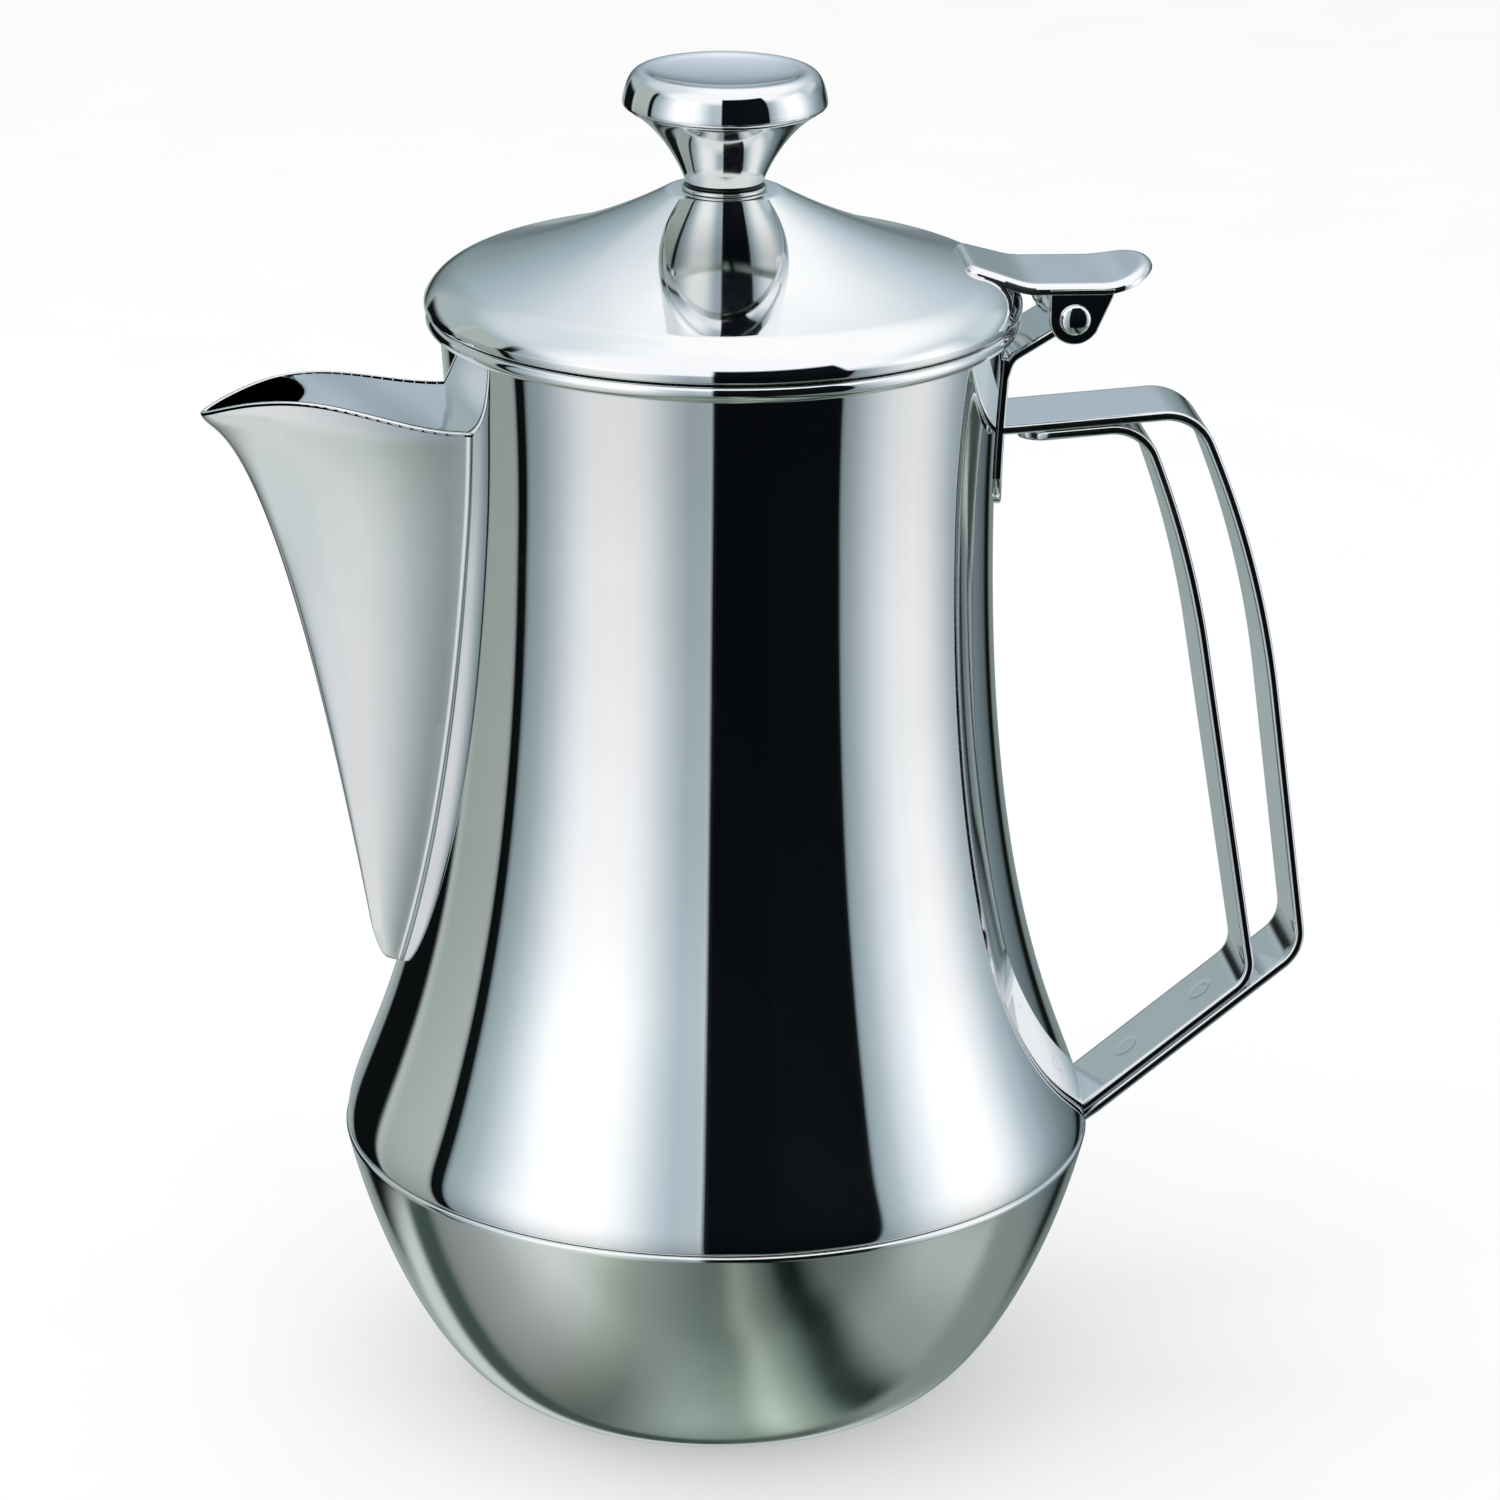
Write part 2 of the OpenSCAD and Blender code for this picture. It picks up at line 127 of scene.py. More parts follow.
class Build:
    """Collects closed shells, each with its own smooth normals, into one mesh."""

    def __init__(self):
        self.points, self.normals, self.faces, self.count = [], [], [], 0

    def add(self, points, normals, faces):
        points, normals = np.asarray(points, float), np.asarray(normals, float)
        self.points.append(points)
        self.normals.append(unit(normals))
        self.faces += [[i + self.count for i in f] for f in faces]
        self.count += len(points)

    def grid(self, p, close_u=False, close_v=False, caps=False):
        """A grid of points p[u, v], with du x dv outwards. caps fills the ends of a tube along u."""
        nu, nv = p.shape[:2]
        n = np.cross(slopes(p, 0, close_u), slopes(p, 1, close_v))
        faces = []
        for i in range(nu if close_u else nu - 1):
            for j in range(nv if close_v else nv - 1):
                a, b = i * nv + j, i * nv + (j + 1) % nv
                c, d = ((i + 1) % nu) * nv + (j + 1) % nv, ((i + 1) % nu) * nv + j
                faces.append([a, d, c, b])
        if caps:
            faces.append([j for j in range(nv)])
            faces.append([(nu - 1) * nv + j for j in reversed(range(nv))])
        self.add(p.reshape(-1, 3), n.reshape(-1, 3), faces)

    def lathe(self, profile, segments=256, axis=None):
        """A closed profile of (radius, height) turned round Z, or round axis = (origin, rotation from Z)."""
        p = np.asarray(profile, float)
        q = np.roll(p, -1, 0)
        if np.sum(p[:, 0] * q[:, 1] - q[:, 0] * p[:, 1]) < 0:
            p = p[::-1]
        t = slopes(p[:, None, :], 0, True)[:, 0]
        n2 = unit(np.stack([t[:, 1], -t[:, 0]], 1))
        pole = p[:, 0] < 1e-6
        n2[pole, 0] = 0
        n2 = unit(n2)
        a = np.linspace(0, 2 * np.pi, segments, endpoint=False)
        points, normals, first, faces = [], [], [], []
        total = 0
        for (r, z), (nr, nz), at_pole in zip(p, n2, pole):
            first.append(total)
            if at_pole:
                points.append([[0, 0, z]])
                normals.append([[0, 0, nz]])
                total += 1
            else:
                points.append(np.stack([r * np.cos(a), r * np.sin(a), np.full_like(a, z)], 1))
                normals.append(np.stack([nr * np.cos(a), nr * np.sin(a), np.full_like(a, nz)], 1))
                total += segments
        k = len(p)
        for i in range(k):
            m = (i + 1) % k
            if pole[i] and pole[m]:
                continue
            for j in range(segments):
                l = (j + 1) % segments
                a0, a1 = (first[i], first[i]) if pole[i] else (first[i] + j, first[i] + l)
                b0, b1 = (first[m], first[m]) if pole[m] else (first[m] + j, first[m] + l)
                f = [a0, a1, b1, b0]
                faces.append([x for at, x in enumerate(f) if x not in f[:at]])
        points, normals = np.vstack(points), np.vstack(normals)
        if axis is not None:
            origin, rot = np.array(axis[0], float), np.array(axis[1], float)
            points, normals = points @ rot.T + origin, normals @ rot.T
        self.add(points, normals, faces)

    def slab(self, outline, thickness, edge, place, rings=8, low_edge=None):
        """A plate with rounded edges. outline is anticlockwise in the plate's own plane and
        star-shaped about its middle; place(a, b, h) puts a point of it at height h."""
        low_edge = edge if low_edge is None else low_edge
        o = np.asarray(outline, float)
        t = slopes(o[:, None, :], 0, True)[:, 0]
        inward = unit(np.stack([-t[:, 1], t[:, 0]], 1))
        middle = o.mean(0)
        steps, crowding, least_side = 7, 0.7, 0.02
        loops = []
        for k in range(1, rings + 1):
            s = (k / rings) ** crowding
            loops.append((middle + (o + inward * low_edge - middle) * s, 0.0))
        for k in range(1, steps + 1):
            a = math.pi / 2 * k / steps
            loops.append((o + inward * low_edge * (1 - math.sin(a)), low_edge * (1 - math.cos(a))))
        if thickness - low_edge - edge > least_side:
            loops.append((o, thickness - edge))
        for k in range(1, steps + 1):
            a = math.pi / 2 * k / steps
            loops.append((o + inward * edge * (1 - math.cos(a)), thickness - edge * (1 - math.sin(a))))
        for k in range(rings - 1, 0, -1):
            s = (k / rings) ** crowding
            loops.append((middle + (o + inward * edge - middle) * s, thickness))
        p = np.array([[place(x, y, h) for x, y in xy] for xy, h in loops])
        nu, nv = p.shape[:2]
        n = unit(np.cross(slopes(p, 1, True), slopes(p, 0, False)))
        low, high = place(*middle, 0.0), place(*middle, thickness)
        points = np.vstack([p.reshape(-1, 3), [low], [high]])
        normals = np.vstack([n.reshape(-1, 3), [n[0].mean(0)], [n[-1].mean(0)]])
        faces = []
        for i in range(nu - 1):
            for j in range(nv):
                l = (j + 1) % nv
                faces.append([i * nv + j, i * nv + l, (i + 1) * nv + l, (i + 1) * nv + j])
        for j in range(nv):
            l = (j + 1) % nv
            faces.append([nu * nv, l, j])
            faces.append([nu * nv + 1, (nu - 1) * nv + j, (nu - 1) * nv + l])
        self.add(points, normals, faces)

    def done(self, name):
        return make_object(name, np.vstack(self.points), self.faces, np.vstack(self.normals))


# ---------------------------------------------------------------- sizes, the same as the CAD's

SHEET = 0.9
BASE_R = 29.3
SEAM_R, SEAM_H = 52.4, 38.0
WAIST_R, WAIST_H = 37.3, 128.4
THROAT_R = 38.5
BEAD_X, BEAD_Z, BEAD_R = 39.2, 154.6, 1.2
RIM_H = 155.8
PIN_X, PIN_Z = 46.9, 155.4
LID_R, LID_LOW, LID_TOP, LID_SHEET = 40.6, 156.0, 172.2, 0.8
LID_EDGE_H = 1.1



def flank(foot_r, foot_h, n):
    """The neck's outer side from its foot up to the waist."""
    return curve([[foot_r, foot_h], [foot_r, SEAM_H + 9.4], [WAIST_R, SEAM_H + 23.8], [WAIST_R, WAIST_H]], n)


def throat(end, n):
    """The neck's outer side from the waist up to a point under the rolled rim."""
    return curve([[WAIST_R, WAIST_H], [WAIST_R, WAIST_H + 9.6], [THROAT_R - 0.5, BEAD_Z - 8], end], n)[1:]


def bowl_side(top_h, n):
    return curve([[BASE_R, 0], [BASE_R + 9.5, 0.7], [SEAM_R - 3.9, SEAM_H - 17], [SEAM_R, top_h]], n)


neck_line = np.vstack([flank(SEAM_R, SEAM_H, 150), throat([THROAT_R, BEAD_Z - 1], 40)])
bowl_line = bowl_side(SEAM_H, 80)


def neck_r(z):
    """The neck's outer radius at a height."""
    return np.interp(z, neck_line[:, 1], neck_line[:, 0])


def body_r(z):
    return np.where(z < SEAM_H, np.interp(z, bowl_line[:, 1], bowl_line[:, 0]), neck_r(z))


def offset(path, d):
    """A path moved by d towards the right hand of someone walking along it."""
    t = slopes(path[:, None, :], 0, False)[:, 0]
    n = unit(np.stack([t[:, 1], -t[:, 0]], 1))
    return path + n * d


# ---------------------------------------------------------------- materials


def srgb(r, g, b):
    return [((c / 255 + 0.055) / 1.055) ** 2.4 if c > 10.31 else c / 255 / 12.92 for c in (r, g, b)]


class Net:
    """Short names for building a node tree."""

    def __init__(self, tree):
        self.tree = tree
        tree.nodes.clear()

    def node(self, kind, inputs=None, **settings):
        n = self.tree.nodes.new(kind)
        for k, v in settings.items():
            setattr(n, k, v)
        for k, v in (inputs or {}).items():
            self.put(n.inputs[k], v)
        return n

    def put(self, socket, value):
        if isinstance(value, bpy.types.NodeSocket):
            self.tree.links.new(value, socket)
        elif isinstance(value, bpy.types.Node):
            self.tree.links.new(value.outputs[0], socket)
        else:
            socket.default_value = value

    def math(self, op, a, b=0.0, c=0.0, clamp=False):
        return self.node("ShaderNodeMath", {0: a, 1: b, 2: c}, operation=op, use_clamp=clamp).outputs[0]

    def step(self, x, low, high, out_low=0.0, out_high=1.0):
        """A smooth step from out_low at low to out_high at high."""
        return self.node("ShaderNodeMapRange", {
            "Value": x, "From Min": low, "From Max": high, "To Min": out_low, "To Max": out_high},
            interpolation_type="SMOOTHSTEP").outputs[0]

    def ramp(self, x, stops):
        """Colours (8-bit sRGB) along x, which runs from 0 to 1."""
        n = self.node("ShaderNodeValToRGB", {0: x})
        r = n.color_ramp
        while len(r.elements) < len(stops):
            r.elements.new(1.0)
        for e, (at, colour) in zip(r.elements, stops):
            e.position = at
            e.color = (*srgb(*colour), 1)
        return n.outputs[0]

    def levels(self, x, stops):
        """A number that follows straight lines through (x, value) stops: x from -2 to 2, values up to 4."""
        n = self.node("ShaderNodeValToRGB", {0: self.math("MULTIPLY_ADD", x, 0.25, 0.5)})
        while len(n.color_ramp.elements) < len(stops):
            n.color_ramp.elements.new(1.0)
        for e, (at, value) in zip(n.color_ramp.elements, stops):
            e.position = at / 4 + 0.5
            e.color = (value / 4,) * 3 + (1,)
        return self.math("MULTIPLY", n.outputs[0], 4.0)

    def mixed(self, f, a, b):
        return self.node("ShaderNodeMix", {0: f, 2: a, 3: b}, data_type="FLOAT").outputs[0]

    def grey(self, value):
        return self.node("ShaderNodeCombineColor", {0: value, 1: value, 2: value}).outputs[0]

    def mix(self, f, a, b, blend="MIX"):
        n = self.node("ShaderNodeMix", data_type="RGBA", blend_type=blend)
        for i, v in ((0, f), (6, a), (7, b)):
            self.put(n.inputs[i], v if not isinstance(v, (tuple, list)) or len(v) == 4 else (*v, 1))
        return n.outputs[2]

    def noise(self, where, scale, detail=2.0, rough=0.5, stretch=None):
        if stretch is not None:
            where = self.node("ShaderNodeMapping", {0: where, 3: stretch}).outputs[0]
        return self.node("ShaderNodeTexNoise", {"Vector": where, "Scale": scale, "Detail": detail,
                                                "Roughness": rough}).outputs[0]


def steel(name, tint, rough, rough_swing, wave, grain, grain_stretch=(1, 1, 1)):
    """Polished steel: slow changes of roughness and tint, faint waviness, and fine polishing marks."""
    m = bpy.data.materials.new(name)
    m.use_nodes = True
    net = Net(m.node_tree)
    where = net.node("ShaderNodeTexCoord").outputs["Object"]
    cloud = net.noise(where, 55.0, 4.0, 0.6)
    marks = net.noise(where, 900.0, 3.0, 0.6, grain_stretch)
    smudge = net.math("MULTIPLY", cloud, net.noise(where, 17.0, 2.0))
    r = net.math("ADD", net.step(smudge, 0.18, 0.42, rough - rough_swing, rough + rough_swing),
                 net.math("MULTIPLY", net.math("SUBTRACT", marks, 0.5), rough_swing))
    dark = tuple(c * 0.965 for c in tint)
    colour = net.mix(net.step(cloud, 0.3, 0.7), dark, tint)
    height = net.math("ADD", net.math("MULTIPLY", net.noise(where, 28.0, 1.0), wave),
                      net.math("MULTIPLY", marks, grain))
    bump = net.node("ShaderNodeBump", {"Height": height, "Strength": 1.0, "Distance": 1.0})
    shader = net.node("ShaderNodeBsdfPrincipled", {"Base Color": colour, "Metallic": 1.0, "Roughness": r,
                                                   "Normal": bump.outputs[0]})
    net.node("ShaderNodeOutputMaterial", {0: shader.outputs[0]})
    return m


MIRROR = steel("mirror_polished_steel", (0.90, 0.905, 0.91), 0.035, 0.02, wave=6e-6, grain=1.5e-7)
LID_STEEL = steel("mirror_polished_lid", (0.90, 0.905, 0.91), 0.045, 0.02, wave=4e-6, grain=1.5e-7)
BOWL = steel("bowl_polished_steel", (0.88, 0.89, 0.885), 0.13, 0.04, wave=6e-6, grain=4e-7,
             grain_stretch=(1, 1, 0.06))
STRAP = steel("strap_steel", (0.86, 0.875, 0.875), 0.12, 0.05, wave=2e-6, grain=6e-7,
              grain_stretch=(1, 0.08, 1))
HINGE = steel("hinge_steel", (0.89, 0.895, 0.90), 0.06, 0.03, wave=2e-6, grain=3e-7)
KNOB_STEEL = steel("cast_knob_steel", (0.74, 0.76, 0.75), 0.1, 0.03, wave=4e-6, grain=3e-7)
# a near-black steel that paints shade into the knob's groove and along the thumb plate's root on the lid
PAINTED_SHADE_STEEL = steel("painted_shade_steel", (0.06, 0.065, 0.065), 0.45, 0.1, wave=4e-6, grain=2e-6)
INNER = steel("inner_satin_steel", (0.80, 0.81, 0.81), 0.26, 0.08, wave=4e-6, grain=1.2e-6,
              grain_stretch=(1, 1, 0.1))


def finish_piece(ob, body, node, slot, *materials):
    for m in materials:
        ob.data.materials.append(m)
    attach(ob, body)
    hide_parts(node)


# ---------------------------------------------------------------- bowl and neck

LIP = 0.42  # radius of the bowl's upper edge
LEDGE_Z = SEAM_H + 0.1  # the neck stands on this ledge of the bowl, set in by FOOT_SET_IN
FOOT_SET_IN, FOOT_EDGE = 0.3, 0.5
RIM_EDGE = 0.6


def bowl_shell():
    outer = bowl_side(LEDGE_Z - LIP, 110)
    lip = arc([SEAM_R - LIP, LEDGE_Z - LIP], LIP, 8, 90, 10)
    under = resample(np.array([[0, 0], [BASE_R - 1.5, 0], [BASE_R, 0]], float), 2.0)
    inner = offset(outer, -SHEET)[:-1]
    inner_floor = resample(np.array([[BASE_R - 0.2, SHEET], [0, SHEET]], float), 2.0)
    profile = np.vstack([under[:-1], outer, lip, [[SEAM_R - SHEET, LEDGE_Z]], inner[::-1], inner_floor])
    b = Build()
    b.lathe(profile, 288)
    finish_piece(b.done("bowl"), "pot", "bowl_shell", "bowl_steel", BOWL)


def neck_shell():
    foot_r = SEAM_R - FOOT_SET_IN
    lower = flank(foot_r, LEDGE_Z + FOOT_EDGE, 150)
    foot = arc([foot_r - FOOT_EDGE, LEDGE_Z + FOOT_EDGE], FOOT_EDGE, -88, 0, 8)
    upper = throat([THROAT_R - 0.03, BEAD_Z - 1.7], 44)
    # a small hollow leads from the neck into the rolled rim, and meets it tangentially
    hollow = arc([THROAT_R + 0.47, BEAD_Z - 1.684], 0.5, 180, 82.2, 10)
    bead = arc([BEAD_X, BEAD_Z], BEAD_R, -97.8, 90, 30)
    bore = THROAT_R - SHEET
    lip = corner_arc([BEAD_X, RIM_H], [bore, RIM_H], [bore, RIM_H - 5], RIM_EDGE, 8)
    inner = offset(np.vstack([lower, upper]), -SHEET)
    inner = inner[(inner[:, 1] > SEAM_H + 1) & (inner[:, 1] < RIM_H - 1.8)]
    profile = np.vstack([foot, lower[1:], upper, hollow[1:], bead[1:], lip, inner[::-1],
                         [[foot_r - SHEET, LEDGE_Z]]])
    b = Build()
    b.lathe(profile, 320)
    ob = b.done("neck")
    hole = Build()
    outline = rounded_loop([[-3.4, 90], [3.4, 90], [10.2, 138.5], [-10.2, 138.5]], [2.5, 2.5, 4, 4], 8)
    hole.slab(outline, 20.0, 0.02, lambda a, c, h: np.array([h - 45.0, a, c]))
    cutter = hole.done("cutter")
    mod = ob.modifiers.new("hole", "BOOLEAN")
    mod.operation, mod.solver, mod.object = "DIFFERENCE", "EXACT", cutter
    bpy.context.view_layer.update()
    cut = bpy.data.meshes.new_from_object(ob.evaluated_get(bpy.context.evaluated_depsgraph_get()))
    ob.modifiers.clear()
    ob.data = cut
    bpy.data.objects.remove(cutter)
    ob.data.polygons.foreach_set("use_smooth", [True] * len(ob.data.polygons))
    finish_piece(ob, "pot", "neck_shell", "mirror_steel", MIRROR)


bowl_shell()
neck_shell()

# ---------------------------------------------------------------- spout

RIDGE = [[-47.7, 62.5], [-62.1, 147.0], [-69.7, 137.6], [-71.0, 142.3]]
TIP_H, FOOT_H, SPOUT_HALF_W, ARCH = 142.3, 62.5, 13.5, 3.2
FOOT_HALF_W, FOOT_SHARE, LEAST_OUT = 0.8, 0.16, 0.12
NOSE, BULGE = 0.34, 0.1  # how blunt the front ridge is, and how much the sides swell
MOUTH_R, MOUTH_BACK = 17.0, 56.6
FILLET, FILLET_STEPS = 1.25, 8


def join_half_w(z):
    """Half width of the spout's join with the neck at a height."""
    return FOOT_HALF_W + (SPOUT_HALF_W - FOOT_HALF_W) * (z - FOOT_H) / (TIP_H - FOOT_H)


def stand_out(s):
    """How far the section stands out at s, as a part of its depth: the foot is rounded into the neck."""
    return np.maximum(LEAST_OUT, np.sqrt(1 - (1 - np.minimum(1, s / FOOT_SHARE)) ** 2))


def skin(s, t):
    """Points of the spout's skin: s from the foot to the top edge, t from -1 to 1 round the front."""
    r = bezier(RIDGE, s * s)
    rx, rz = r[:, 0], r[:, 1]
    w = join_half_w(rz)
    wall = -np.sqrt(neck_r(rz) ** 2 - w * w)
    front = 1 - (np.sqrt(t * t + NOSE ** 2) - NOSE) / (math.sqrt(1 + NOSE ** 2) - NOSE)
    swell = BULGE * 4 * front * (1 - front) * np.minimum(1, 4 * (1 - front))
    x = wall[:, None] + ((rx - wall) * stand_out(s))[:, None] * front[None, :]
    y = w[:, None] * (t + np.sign(t) * swell)[None, :]
    z = rz[:, None] + ARCH * (s ** 8)[:, None] * (np.sin(np.pi * t) ** 2)[None, :]
    return np.stack([x, y, z], 2)


def spout_trough():
    s = np.sin(np.linspace(0.0, 1.0, 130) * np.pi / 2)
    u = np.linspace(-1, 1, 91)
    t = np.sign(u) * np.abs(u) ** 1.5
    side = skin(s, t)
    rows = []
    for row, out in zip(side, stand_out(s)):
        # both ends of each row turn into the neck through a fillet, and end just inside its sheet
        reach = FILLET * out * 0.6
        from_first, from_last = (np.linalg.norm(row - row[k], axis=1) for k in (0, -1))
        kept = row[(from_first > reach) & (from_last > reach)]
        ends = []
        for end, nearby in ((row[0], row[1]), (row[-1], row[-2])):
            tangent = np.array([-end[1], end[0], 0]) / math.hypot(end[0], end[1]) * (-1 if end[1] > 0 else 1)
            a, b = end + unit(nearby - end) * reach, end + tangent * reach
            q = np.linspace(0, 1, FILLET_STEPS + 1)[:, None]
            bend = (1 - q) ** 2 * a + 2 * (1 - q) * q * end + q * q * b
            outward = np.array([b[0], b[1], 0]) / math.hypot(end[0], end[1])
            bend[-1] -= outward * 0.04
            ends.append(np.vstack([bend, [b - outward * 0.4]]))
        a = lengths(kept)
        want = np.interp(np.linspace(0, 1, 85), np.linspace(0, 1, len(a)), a)
        kept = np.stack([np.interp(want, a, kept[:, k]) for k in range(3)], 1)
        rows.append(np.vstack([ends[0][::-1], kept[1:-1], ends[1]]))
    outer = np.array(rows)
    n = unit(np.cross(slopes(outer, 0, False), slopes(outer, 1, False)))
    if n[len(s) // 2, outer.shape[1] // 2, 0] > 0:  # they have to point outwards, towards -x
        n = -n
    inner = outer - n * (SHEET * np.minimum(1, 0.3 + 4 * s))[:, None, None]
    bound = -np.sqrt(np.maximum((neck_r(inner[..., 2]) - 0.45) ** 2 - inner[..., 1] ** 2, 1))
    inner[..., 0] = np.minimum(inner[..., 0], bound)
    # the top edge is rounded over from the outer skin to the lining
    up = unit(outer[-1] - outer[-4])
    mid, half = (outer[-1] + inner[-1]) / 2, (outer[-1] - inner[-1]) / 2
    radius = np.linalg.norm(half, axis=1, keepdims=True)
    rim = [mid + half * math.cos(a) + up * radius * (math.sin(a) - 0.9) for a in np.linspace(0, math.pi, 13)]
    last = len(s) - 3
    b = Build()
    b.grid(np.concatenate([outer[:last], np.array(rim), inner[:last][::-1]], 0)[:, ::-1])
    finish_piece(b.done("spout_sides"), "pot", "spout_trough", "mirror_steel", MIRROR)
    return mid


def spout_top(rim_mid):
    """The plate that closes the spout's top behind the mouth; its sides end inside the rolled edge."""
    middle = len(rim_mid) // 2
    right = rim_mid[middle:]
    right = right[right[:, 1] > 1.0]
    order = np.argsort(right[:, 0])
    ex, ey, ez = (right[order, k] for k in range(3))
    ex, ey, ez = np.append(ex, -30.0), np.append(ey, ey[-1]), np.append(ez, ez[-1])
    # the open mouth ends in an arc round (cx, 0); corner is where that arc meets the spout's edge
    cx = -MOUTH_BACK - MOUTH_R
    xs = np.linspace(-64, -56, 400)
    corner = xs[np.argmin(np.abs((xs - cx) ** 2 + np.interp(xs, ex, ey) ** 2 - MOUTH_R ** 2))]
    back_y = np.interp(-36.0, ex, ey)
    sunk = 0.5  # how far the plate's back edge goes into the neck
    back_corner = -math.sqrt(float(neck_r(TIP_H)) ** 2 - back_y ** 2) + sunk
    nu, nv = 70, 61
    u = np.linspace(0, 1, nu)[:, None]
    v = np.sin(np.linspace(-1, 1, nv) * np.pi / 2)[None, :]
    edge_x = corner + (back_corner - corner) * u
    half = np.interp(edge_x, ex, ey)
    y = half * v
    front_x = cx + np.sqrt(np.maximum(MOUTH_R ** 2 - (v * np.interp(corner, ex, ey)) ** 2, 0))
    back_x = -np.sqrt(neck_r(TIP_H) ** 2 - (v * back_y) ** 2) + sunk
    x = front_x + (back_x - front_x) * u
    z = np.interp(edge_x, ex, ez) + 0.0 * v - 0.12  # just under the rolled edge
    upper = np.stack([x, y, z], 2)
    ahead = unit(np.stack([front_x[0] - cx, y[0], 0 * y[0]], 1))
    r = SHEET / 2
    nose = [upper[0] - [0, 0, r * (1 - math.cos(a))] - ahead * r * math.sin(a)
            for a in np.linspace(0, math.pi, 11)]
    lower = upper - np.array([0, 0, SHEET])
    b = Build()
    b.grid(np.concatenate([upper[::-1][:-1], np.array(nose), lower[1:]], 0))
    finish_piece(b.done("spout_top_plate"), "pot", "spout_top", "mirror_steel", MIRROR)


spout_top(spout_trough())

# ---------------------------------------------------------------- handle

STRAP_HALF, STRAP_T, STRAP_EDGE = 7.0, 1.3, 0.42
OUTER_CORNERS = np.array([[36, 139.9], [65, 142], [74.8, 119.2], [82.8, 62.1], [50, 35.7]], float)
OUTER_RADII = [7.5, 140, 6.5]
INNER_START = 40.2


def beside(a, b, d, x):
    """The point at x on the line from a to b, moved by d towards its right hand."""
    u = unit(b - a)
    p = a + d * np.array([u[1], -u[0]])
    return [x, p[1] + (x - p[0]) * u[1] / u[0]]


INNER_CORNERS = np.array([
    beside(OUTER_CORNERS[0], OUTER_CORNERS[1], STRAP_T, INNER_START),
    beside(OUTER_CORNERS[0], OUTER_CORNERS[1], STRAP_T, 57.6), [65, 121.2],
    beside(OUTER_CORNERS[3], OUTER_CORNERS[4], STRAP_T, 75.8),
    beside(OUTER_CORNERS[3], OUTER_CORNERS[4], STRAP_T, 48.0)])
INNER_RADII = [7, 140, 5.5]
WELDS = [(58.5, 46.1), (69.1, 54.1)]  # x and z of the spot welds on the inner strap
START_ROUND = 4.0  # radius of the inner strap's corners at its free end
BRACKET_T = 1.0
LOWER_END_H = 60.0  # each strap's lower end is below this height


def weld_depth(q):
    """A shallow ring and a dimple at distance q from the middle of a spot weld."""
    return 0.055 * math.exp(-((q - 1.5) / 0.33) ** 2) + 0.05 * math.exp(-(q / 1.2) ** 2)


def stretched(path, to_x):
    """The point where the last stretch of a path, drawn on, gets to x."""
    u = unit(path[-1] - path[-2])
    return path[-1] + u * (path[-1][0] - to_x) / abs(u[0])


def strap(path, round_start, welds=()):
    """A flat strap along an XZ path of its outer side, with rounded edges."""
    t = slopes(path[:, None, :], 0, False)[:, 0]
    n = unit(np.stack([t[:, 1], -t[:, 0]], 1))
    half = np.full(len(path), STRAP_HALF)
    if round_start:
        left = START_ROUND - np.minimum(lengths(path), START_ROUND)
        half = STRAP_HALF - START_ROUND + np.sqrt(START_ROUND ** 2 - left ** 2)
    e, th = STRAP_EDGE, STRAP_T
    section = []
    for (cy, ch, a0) in ((1, th - e, 0), (-1, th - e, 90), (-1, e, 180), (1, e, 270)):
        for k in range(6):
            a = math.radians(a0 + 90 * k / 5)
            section.append((cy, e * math.cos(a), ch + e * math.sin(a)))
        if a0 in (0, 180):
            side = 1 if a0 == 0 else -1
            for y in np.linspace(1, -1, 39)[1:-1]:
                section.append((side * y * 0.985, 0.0, th if a0 == 0 else 0.0))
    rings = []
    for i, (px, pz) in enumerate(path):
        ring = []
        for cy, dy, h in section:
            y = cy * (half[i] - e) + dy
            depth = 0.0
            if h >= th - 1e-6:
                for wx, wz in welds:
                    off = math.hypot(px + n[i, 0] * th - wx, pz + n[i, 1] * th - wz)
                    depth += weld_depth(math.hypot(off, y))
            ring.append([px + n[i, 0] * (h - depth), y, pz + n[i, 1] * (h - depth)])
        rings.append(ring)
    return np.array(rings)


def fit_end(rings, index, embed, wall):
    """Shapes one end of a strap to the round wall it meets."""
    ring = rings[index]
    ring[:, 0] = np.sqrt(wall(ring[:, 2]) ** 2 - ring[:, 1] ** 2) - embed


def handle_outer():
    def wall(z):
        return neck_r(z) + BRACKET_T

    path = resample(rounded_path(OUTER_CORNERS, OUTER_RADII, 24), 1.0)
    start_x = float(wall(140.0)) + 0.2
    path = path[(path[:, 0] > start_x + 0.4) | (path[:, 1] < 100)]
    path = path[(path[:, 0] > 53.6) | (path[:, 1] > LOWER_END_H)]
    path = np.vstack([[stretched(path[::-1], start_x - 0.5)], path, [stretched(path, 51.6)]])
    rings = strap(path, False)
    fit_end(rings, 0, 0.35, wall)
    fit_end(rings, -1, 0.5, body_r)
    b = Build()
    b.grid(rings, close_v=True, caps=True)
    finish_piece(b.done("handle_outer"), "pot", "handle_outer_strap", "strap_steel", STRAP)


